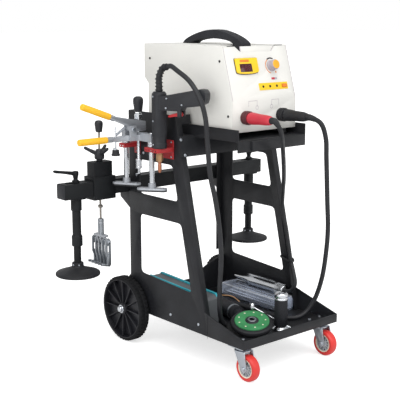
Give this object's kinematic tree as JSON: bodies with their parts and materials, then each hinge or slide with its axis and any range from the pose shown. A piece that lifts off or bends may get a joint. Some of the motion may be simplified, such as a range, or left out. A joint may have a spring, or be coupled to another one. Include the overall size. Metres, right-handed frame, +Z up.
{
  "type": "dent pulling spot welder",
  "caption": "Spot welder in a sloped sheet-metal case on a black steel trolley, with welding gun, hand-held dent puller, beam puller with claws, cables and tray tools.",
  "frame": {"origin": "middle of the footprint without the cables, on the floor", "axes": "+Z up, -Y the front with the control panel, +X the side away from the beam's long end"},
  "size_m": [0.839, 0.6294, 0.942],
  "materials": {
    "black_steel": "satin black powder coat",
    "rubber": "black rubber",
    "tyre": "black tyre rubber",
    "black_plastic": "moulded black plastic",
    "zinc": "bright zinc",
    "chrome": "polished chrome",
    "cast": "satin cast metal",
    "white_paint": "light grey-white paint",
    "yellow": "yellow plastic",
    "amber": "amber plastic",
    "red_plastic": "red plastic",
    "red_paint": "red paint",
    "red_tread": "red polyurethane",
    "copper": "copper alloy",
    "green": "green abrasive backing",
    "teal": "teal plastic",
    "board": "circuit board",
    "core": "laminated iron",
    "clear": "clear plastic"
  },
  "bodies": {
    "cart": {"side_panel_left": "black_steel", "side_panel_right": "black_steel", "base_tray": "black_steel", "top_tray": "black_steel", "rear_axle": "zinc", "castor_plate_left": "zinc", "castor_plate_right": "zinc", "tool_bracket_rear": "red_paint", "tool_bracket_front": "red_paint", "puller_beam": "black_steel", "case_cover": "white_paint", "case_chassis": "white_paint", "front_panel": "white_paint", "carry_handle": "black_plastic", "display_unit": "amber", "plug_red": "red_plastic", "plug_black": "rubber", "transformer": "core", "control_board": "board", "gun_body": "black_plastic", "gun_electrode": "copper", "gun_boot": "rubber", "tray_bottle": "black_plastic", "tray_polisher": "black_plastic", "tray_tool_box": "teal", "tray_tube_case": "clear", "earth_clamp": "chrome", "gun_cable": "rubber", "earth_cable": "rubber", "cable_tie": "black_plastic", "puller_frame": "cast", "puller_spring": "zinc"},
    "wheel_left": {"rear_wheel_rim_left": "black_plastic", "rear_wheel_tyre_left": "tyre"},
    "wheel_right": {"rear_wheel_rim_right": "black_plastic", "rear_wheel_tyre_right": "tyre"},
    "fork_left": {"castor_fork_left": "zinc"},
    "fork_right": {"castor_fork_right": "zinc"},
    "castor_left": {"castor_wheel_left": "red_tread"},
    "castor_right": {"castor_wheel_right": "red_tread"},
    "dial": {"dial_knob": "yellow"},
    "button": {"mode_button": "amber"},
    "trigger": {"gun_trigger": "red_plastic"},
    "lever": {"puller_lever": "chrome"},
    "pull_rod": {"puller_rod": "chrome"},
    "rod_knob": {"puller_knob": "black_plastic"},
    "foot_rear": {"puller_foot_rear": "cast"},
    "foot_front": {"puller_foot_front": "cast"},
    "carriage": {"beam_carriage": "black_steel"},
    "wing": {"wing_nut": "black_plastic"},
    "spindle": {"pull_spindle": "zinc"},
    "yoke": {"claw_yoke": "cast"},
    "hooks": {"claw_hooks": "chrome"},
    "sleeve_near": {"leg_sleeve_near": "black_steel"},
    "sleeve_far": {"leg_sleeve_far": "black_steel"},
    "leg_near": {"leg_foot_near": "rubber"},
    "leg_far": {"leg_foot_far": "rubber"},
    "clamp_near": {"clamp_lever_near": "black_steel"},
    "clamp_far": {"clamp_lever_far": "black_steel"},
    "disc": {"tray_disc": "green"}
  },
  "joints": [
    {"name": "wheel_left_spin", "type": "hinge", "parent": "cart", "child": "wheel_left", "pos_m": [-0.1845, 0.21475, 0.1], "axis": [1, 0, 0], "continuous": true},
    {"name": "castor_left_swivel", "type": "hinge", "parent": "cart", "child": "fork_left", "pos_m": [-0.1325, -0.25525, 0.085], "axis": [0, 0, 1], "continuous": true},
    {"name": "castor_left_spin", "type": "hinge", "parent": "fork_left", "child": "castor_left", "pos_m": [-0.1325, -0.27725, 0.0375], "axis": [1, 0, 0], "continuous": true},
    {"name": "wheel_right_spin", "type": "hinge", "parent": "cart", "child": "wheel_right", "pos_m": [0.2315, 0.21475, 0.1], "axis": [1, 0, 0], "continuous": true},
    {"name": "castor_right_swivel", "type": "hinge", "parent": "cart", "child": "fork_right", "pos_m": [0.1795, -0.25525, 0.085], "axis": [0, 0, 1], "continuous": true},
    {"name": "castor_right_spin", "type": "hinge", "parent": "fork_right", "child": "castor_right", "pos_m": [0.1795, -0.27725, 0.0375], "axis": [1, 0, 0], "continuous": true},
    {"name": "dial_turn", "type": "hinge", "parent": "cart", "child": "dial", "pos_m": [0.0715, -0.14414, 0.84326], "axis": [0, -0.9598, 0.2808], "range_deg": [-135, 135]},
    {"name": "button_press", "type": "slide", "parent": "cart", "child": "button", "axis": [0, 0.9598, -0.2808], "range_m": [0, 0.002], "stiffness_N_per_m": 400, "springref_m": -0.002},
    {"name": "trigger_squeeze", "type": "hinge", "parent": "cart", "child": "trigger", "pos_m": [-0.17576, -0.04738, 0.714], "axis": [0.9063, 0.4226, 0], "range_deg": [0, 8], "stiffness_Nm_per_rad": 0.4, "springref_deg": -8.59},
    {"name": "lever_close", "type": "hinge", "parent": "cart", "child": "lever", "pos_m": [-0.2355, 0.10875, 0.666], "axis": [0, -1, 0], "range_deg": [0, 12], "stiffness_Nm_per_rad": 6, "springref_deg": -14.32, "deforming": ["puller_spring"]},
    {"name": "rod_lift", "type": "slide", "parent": "cart", "child": "pull_rod", "axis": [0, 0, 1], "range_m": [0, 0.0046]},
    {"name": "rod_knob_turn", "type": "hinge", "parent": "pull_rod", "child": "rod_knob", "pos_m": [-0.2065, 0.10875, 0.73], "axis": [0, 0, 1], "continuous": true},
    {"name": "foot_rear_swivel", "type": "hinge", "parent": "cart", "child": "foot_rear", "pos_m": [-0.2065, 0.16975, 0.505], "axis": [0, 0, 1], "range_deg": [-12, 12]},
    {"name": "foot_front_swivel", "type": "hinge", "parent": "cart", "child": "foot_front", "pos_m": [-0.2065, 0.04775, 0.505], "axis": [0, 0, 1], "range_deg": [-12, 4]},
    {"name": "carriage_slide", "type": "slide", "parent": "cart", "child": "carriage", "axis": [1, 0, 0], "range_m": [-0.02, 0.02]},
    {"name": "wing_nut_turn", "type": "hinge", "parent": "carriage", "child": "wing", "pos_m": [-0.2535, 0.23975, 0.58], "axis": [0, 0, -1], "range_deg": [-1445, 3605]},
    {"name": "spindle_pull", "type": "slide", "parent": "carriage", "child": "spindle", "axis": [0, 0, 1], "range_m": [-0.008, 0.02]},
    {"name": "claw_swivel", "type": "hinge", "parent": "spindle", "child": "yoke", "pos_m": [-0.2535, 0.23975, 0.37], "axis": [0, 0, 1], "continuous": true},
    {"name": "claw_swing", "type": "hinge", "parent": "yoke", "child": "hooks", "pos_m": [-0.2535, 0.23975, 0.322], "axis": [0, 1, 0], "range_deg": [-20, 20]},
    {"name": "leg_near_slide", "type": "slide", "parent": "cart", "child": "sleeve_near", "axis": [1, 0, 0], "range_m": [-0.026, 0]},
    {"name": "leg_far_slide", "type": "slide", "parent": "cart", "child": "sleeve_far", "axis": [1, 0, 0], "range_m": [-0.026, 0.013]},
    {"name": "leg_near_height", "type": "slide", "parent": "sleeve_near", "child": "leg_near", "axis": [0, 0, 1], "range_m": [-0.035, 0.005]},
    {"name": "leg_far_height", "type": "slide", "parent": "sleeve_far", "child": "leg_far", "axis": [0, 0, 1], "range_m": [-0.035, 0.045]},
    {"name": "clamp_near_turn", "type": "hinge", "parent": "sleeve_near", "child": "clamp_near", "pos_m": [-0.3385, 0.23975, 0.525], "axis": [0, 0, 1], "range_deg": [-100, 100]},
    {"name": "clamp_far_turn", "type": "hinge", "parent": "sleeve_far", "child": "clamp_far", "pos_m": [0.3535, 0.23975, 0.525], "axis": [0, 0, 1], "range_deg": [-100, 100]},
    {"name": "disc_spin", "type": "hinge", "parent": "cart", "child": "disc", "pos_m": [-0.0425, -0.19625, 0.1171], "axis": [-0.1684, -0.1965, 0.9659], "continuous": true}
  ],
  "couplings": [
    {"joint": "rod_lift", "follows": "lever_close", "m_per_rad": 0.021},
    {"joint": "wing_nut_turn", "follows": "spindle_pull", "rad_per_m": 3141.6}
  ]
}
